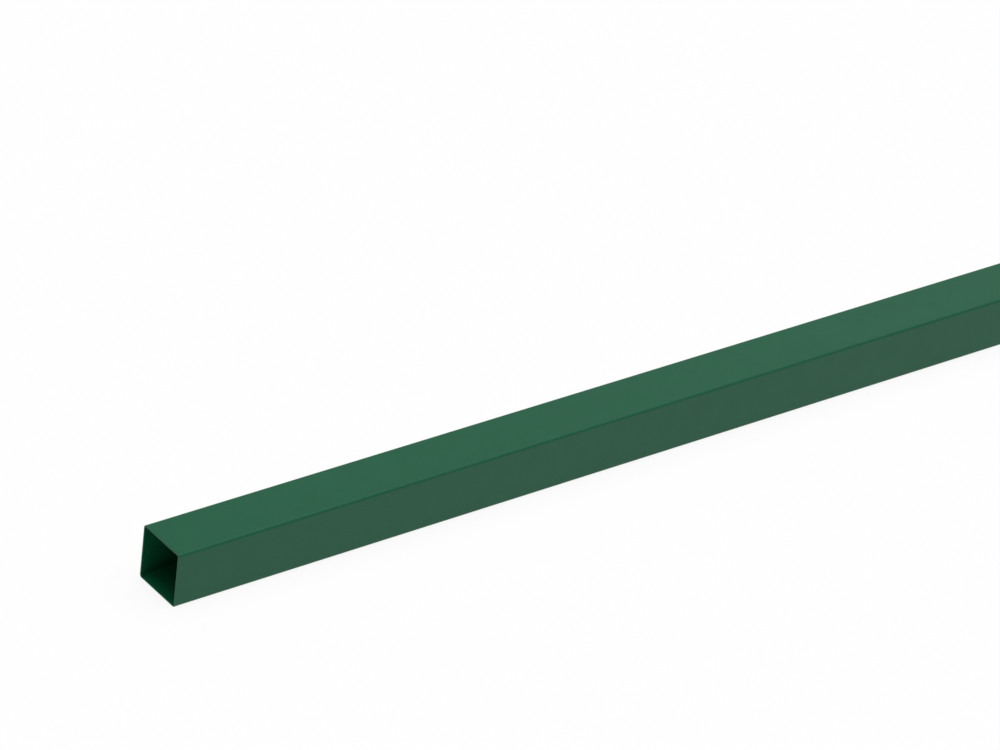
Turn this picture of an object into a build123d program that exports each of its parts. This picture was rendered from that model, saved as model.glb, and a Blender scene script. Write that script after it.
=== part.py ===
"""A metal fence post: one square steel hollow section with open ends, lying on one flat side.

The section is rolled from strip into a square with rounded corners and welded along the middle
of the near wall, which leaves a low bead inside. The outside of the seam is dressed flush.
X runs along the post, Y across it and Z up. The origin is the middle of the underside.
"""

from build123d import *
import os

# Driving dimensions, in millimetres
post_length = 2000.0
post_side = 60.0
wall = 1.5
inner_bend_radius = 1.5
weld_bead_width = 3.0
weld_bead_height = 0.4
edge_break = 0.2

# Sizes that follow from them
outer_bend_radius = inner_bend_radius + wall
hollow_side = post_side - 2 * wall
seam_face = -hollow_side / 2

# The plane of the first cut end: its first axis is across the post, its second axis is up
first_end = Plane(
    origin=(-post_length / 2, 0, post_side / 2),
    x_dir=(0, 1, 0),
    z_dir=(1, 0, 0),
)

# The post: the rolled section with its weld bead, drawn out to length and deburred at both cuts
with BuildPart() as post:
    with BuildSketch(first_end):
        RectangleRounded(post_side, post_side, outer_bend_radius)
        RectangleRounded(hollow_side, hollow_side, inner_bend_radius, mode=Mode.SUBTRACT)
        with BuildLine():
            bead_crown = ThreePointArc(
                (seam_face, -weld_bead_width / 2),
                (seam_face + weld_bead_height, 0),
                (seam_face, weld_bead_width / 2),
            )
            Line(bead_crown @ 1, bead_crown @ 0)
        make_face()
    extrude(amount=post_length)
    cut_ends = faces().filter_by(Axis.X)
    chamfer(cut_ends.edges(), length=edge_break)

post.part.label = "post"

os.makedirs("parts", exist_ok=True)
export_step(post.part, "parts/post.step")
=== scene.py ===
"""Dresses the fence post: a green powder-coated square tube on a pale table in soft light."""

from math import cos, radians, sin

import bpy
from mathutils import Matrix, Vector

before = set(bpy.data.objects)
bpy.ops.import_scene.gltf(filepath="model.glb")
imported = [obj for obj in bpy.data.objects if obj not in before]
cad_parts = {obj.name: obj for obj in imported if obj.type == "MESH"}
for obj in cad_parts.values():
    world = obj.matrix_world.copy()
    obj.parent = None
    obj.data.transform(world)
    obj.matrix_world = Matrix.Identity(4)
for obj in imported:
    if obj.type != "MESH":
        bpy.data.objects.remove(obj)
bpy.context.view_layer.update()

# The camera, in metres and degrees: what the middle of the picture looks at, and from where
CAMERA_TARGET = Vector((-0.5009, 0.1276, 0.030))
CAMERA_DISTANCE = 5.594
CAMERA_AZIMUTH = 40.19
CAMERA_ELEVATION = 31.86
CAMERA_ROLL = 7.25
SENSOR_WIDTH_MM = 36.0
LENS_MM = 198.07

WHITE = (1.0, 1.0, 1.0, 1.0)

# The light. A glow of one would just show as white.
# A higher fall makes a light narrower. Bearings turn from +X towards +Y, and all angles are in degrees.
STRAIGHT_UP = Vector((0.0, 0.0, 1.0))
OVERHEAD_GLOW = 5.58
OVERHEAD_FALL = 13.0
FILL_GLOW = 3.7
FILL_FALL = 60.0
FILL_BEARING = 200.0
FILL_HEIGHT = 45.0
WALL_GLOW = 1.0
WALL_BEARING = 5.0
SEEN_SKY = 0.993

# The table, which the camera has to see to its edges
TABLE_SIDE = 200.0
TABLE_GLOW = 0.88
TABLE_ALBEDO = 0.12
FARTHEST_SEEN = 2 * TABLE_SIDE

# The coat: its colours and gloss, and how wide and deep its unevenness is, in metres.
# A detail says how many finer layers of noise are laid over the first.
COAT_DARK = (0.0017, 0.0925, 0.0397, 1.0)
COAT_LIGHT = (0.0020, 0.1129, 0.0491, 1.0)
CLOUD_WIDTH = 0.030
CLOUD_DETAIL = 3.0
COAT_SPECULAR = 0.27
SMOOTHEST = 0.36
ROUGHEST = 0.44
GLOSS_PATCH_WIDTH = 0.008
GLOSS_PATCH_DETAIL = 2.0
PEEL_WIDTH = 0.0016
PEEL_DEPTH = 0.000080
ROLLING_LINE_WIDTH = 0.0035
ROLLING_LINE_LENGTH = 1.6
ROLLING_LINE_DEPTH = 0.000024
RELIEF_DETAIL = 1.0


def link(tree, source, target):
    tree.links.new(source, target)


def new_material(name):
    """A node material with only its Principled shader and output, and that shader."""
    material = bpy.data.materials.new(name)
    material.use_nodes = True
    shader = material.node_tree.nodes["Principled BSDF"]
    return material, shader


def noise(tree, place, widths, detail):
    """Noise with features of the given widths along X, Y and Z. Returns its value, around a half."""
    stretch = tree.nodes.new("ShaderNodeMapping")
    stretch.inputs["Scale"].default_value = [1 / width for width in widths]
    link(tree, place, stretch.inputs["Vector"])
    node = tree.nodes.new("ShaderNodeTexNoise")
    node.inputs["Scale"].default_value = 1.0
    node.inputs["Detail"].default_value = detail
    link(tree, stretch.outputs["Vector"], node.inputs["Vector"])
    return node.outputs["Fac"]


def bump(tree, height, depth, under=None):
    """Raises the surface by height times depth, over the normal that lies under it."""
    node = tree.nodes.new("ShaderNodeBump")
    node.inputs["Distance"].default_value = depth
    link(tree, height, node.inputs["Height"])
    if under:
        link(tree, under, node.inputs["Normal"])
    return node.outputs["Normal"]


def green_coat():
    """Satin powder coat: a faintly clouded green with orange peel, over the lines of the rolling."""
    material, shader = new_material("green_powder_coat")
    tree = material.node_tree
    place = tree.nodes.new("ShaderNodeTexCoord").outputs["Object"]

    colours = tree.nodes.new("ShaderNodeMix")
    colours.data_type = "RGBA"
    colours.inputs["A"].default_value = COAT_DARK
    colours.inputs["B"].default_value = COAT_LIGHT
    clouds = noise(tree, place, [CLOUD_WIDTH] * 3, CLOUD_DETAIL)
    link(tree, clouds, colours.inputs["Factor"])
    link(tree, colours.outputs["Result"], shader.inputs["Base Color"])

    gloss = tree.nodes.new("ShaderNodeMapRange")
    gloss.inputs["To Min"].default_value = SMOOTHEST
    gloss.inputs["To Max"].default_value = ROUGHEST
    patches = noise(tree, place, [GLOSS_PATCH_WIDTH] * 3, GLOSS_PATCH_DETAIL)
    link(tree, patches, gloss.inputs["Value"])
    link(tree, gloss.outputs["Result"], shader.inputs["Roughness"])
    shader.inputs["Specular IOR Level"].default_value = COAT_SPECULAR

    line_widths = (ROLLING_LINE_LENGTH, ROLLING_LINE_WIDTH, ROLLING_LINE_WIDTH)
    lines = noise(tree, place, line_widths, RELIEF_DETAIL)
    peel = noise(tree, place, [PEEL_WIDTH] * 3, RELIEF_DETAIL)
    rolled = bump(tree, lines, ROLLING_LINE_DEPTH)
    peeled = bump(tree, peel, PEEL_DEPTH, rolled)
    link(tree, peeled, shader.inputs["Normal"])
    return material


def pale_table():
    """The floor: a matt white table lit from within, so that it stays pale beside the post."""
    material, shader = new_material("pale_table")
    shader.inputs["Base Color"].default_value = (TABLE_ALBEDO, TABLE_ALBEDO, TABLE_ALBEDO, 1.0)
    shader.inputs["Roughness"].default_value = 1.0
    shader.inputs["Specular IOR Level"].default_value = 0.0
    shader.inputs["Emission Color"].default_value = WHITE
    shader.inputs["Emission Strength"].default_value = TABLE_GLOW
    bpy.ops.mesh.primitive_plane_add(size=TABLE_SIDE)
    table = bpy.context.object
    table.name = "pale_table"
    table.data.materials.append(material)


def math_node(tree, operation, *operands):
    """One Math node. An operand is a float or another node's output."""
    node = tree.nodes.new("ShaderNodeMath")
    node.operation = operation
    for socket, operand in zip(node.inputs, operands):
        if isinstance(operand, float):
            socket.default_value = operand
        else:
            link(tree, operand, socket)
    return node.outputs["Value"]


def place_in_sky(bearing, height):
    """The direction of a place in the sky, as a unit vector. Both angles are in degrees."""
    bearing, height = radians(bearing), radians(height)
    return Vector((cos(height) * cos(bearing), cos(height) * sin(bearing), sin(height)))


def nearness(tree, direction, place):
    """How far the direction points to a place: one where it does, less than nothing behind."""
    node = tree.nodes.new("ShaderNodeVectorMath")
    node.operation = "DOT_PRODUCT"
    node.inputs[1].default_value = place
    link(tree, direction, node.inputs[0])
    return node.outputs["Value"]


def soft_light(tree, direction, place, glow, fall):
    """A round soft light, with its full glow at its place in the sky."""
    ahead = math_node(tree, "MAXIMUM", nearness(tree, direction, place), 0.0)
    return math_node(tree, "MULTIPLY", math_node(tree, "POWER", ahead, fall), glow)


def studio():
    """A soft light overhead, a fill off the end in view, and a pale wall off the other end.

    The wall's glow fades with the angle from it and takes some light away behind. The camera sees
    a plain pale sky instead of all three.
    """
    world = bpy.data.worlds.new("studio")
    bpy.context.scene.world = world
    world.use_nodes = True
    tree = world.node_tree
    direction = tree.nodes.new("ShaderNodeTexCoord").outputs["Generated"]

    fill_place = place_in_sky(FILL_BEARING, FILL_HEIGHT)
    wall_place = place_in_sky(WALL_BEARING, 0.0)
    overhead = soft_light(tree, direction, STRAIGHT_UP, OVERHEAD_GLOW, OVERHEAD_FALL)
    fill = soft_light(tree, direction, fill_place, FILL_GLOW, FILL_FALL)
    wall = nearness(tree, direction, wall_place * WALL_GLOW)
    lights = math_node(tree, "ADD", overhead, fill)
    glow = math_node(tree, "ADD", lights, wall)

    lighting = tree.nodes["Background"]
    link(tree, math_node(tree, "MAXIMUM", glow, 0.0), lighting.inputs["Color"])
    seen = tree.nodes.new("ShaderNodeBackground")
    seen.inputs["Color"].default_value = (SEEN_SKY, SEEN_SKY, SEEN_SKY, 1.0)
    path = tree.nodes.new("ShaderNodeLightPath")
    choice = tree.nodes.new("ShaderNodeMixShader")
    link(tree, path.outputs["Is Camera Ray"], choice.inputs["Fac"])
    link(tree, lighting.outputs["Background"], choice.inputs[1])
    link(tree, seen.outputs["Background"], choice.inputs[2])
    link(tree, choice.outputs["Shader"], tree.nodes["World Output"].inputs["Surface"])


def camera():
    """The photo's camera: it looks down at the post from one side, turned a little about its own axis."""
    azimuth, elevation, roll = (radians(a) for a in (CAMERA_AZIMUTH, CAMERA_ELEVATION, CAMERA_ROLL))
    forward = Vector((sin(azimuth) * cos(elevation), cos(azimuth) * cos(elevation), -sin(elevation)))
    level = Vector((cos(azimuth), -sin(azimuth), 0.0))
    upright = level.cross(forward)
    right = level * cos(roll) + upright * sin(roll)
    up = right.cross(forward)
    turn = Matrix((right, up, -forward)).transposed().to_4x4()
    data = bpy.data.cameras.new("camera")
    data.sensor_width = SENSOR_WIDTH_MM
    data.lens = LENS_MM
    data.clip_end = FARTHEST_SEEN
    view = bpy.data.objects.new("camera", data)
    view.matrix_world = Matrix.Translation(CAMERA_TARGET - forward * CAMERA_DISTANCE) @ turn
    bpy.context.scene.collection.objects.link(view)
    bpy.context.scene.camera = view


camera()
studio()
pale_table()
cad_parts["post"].material_slots[0].material = green_coat()
bpy.context.scene.view_settings.view_transform = "Standard"
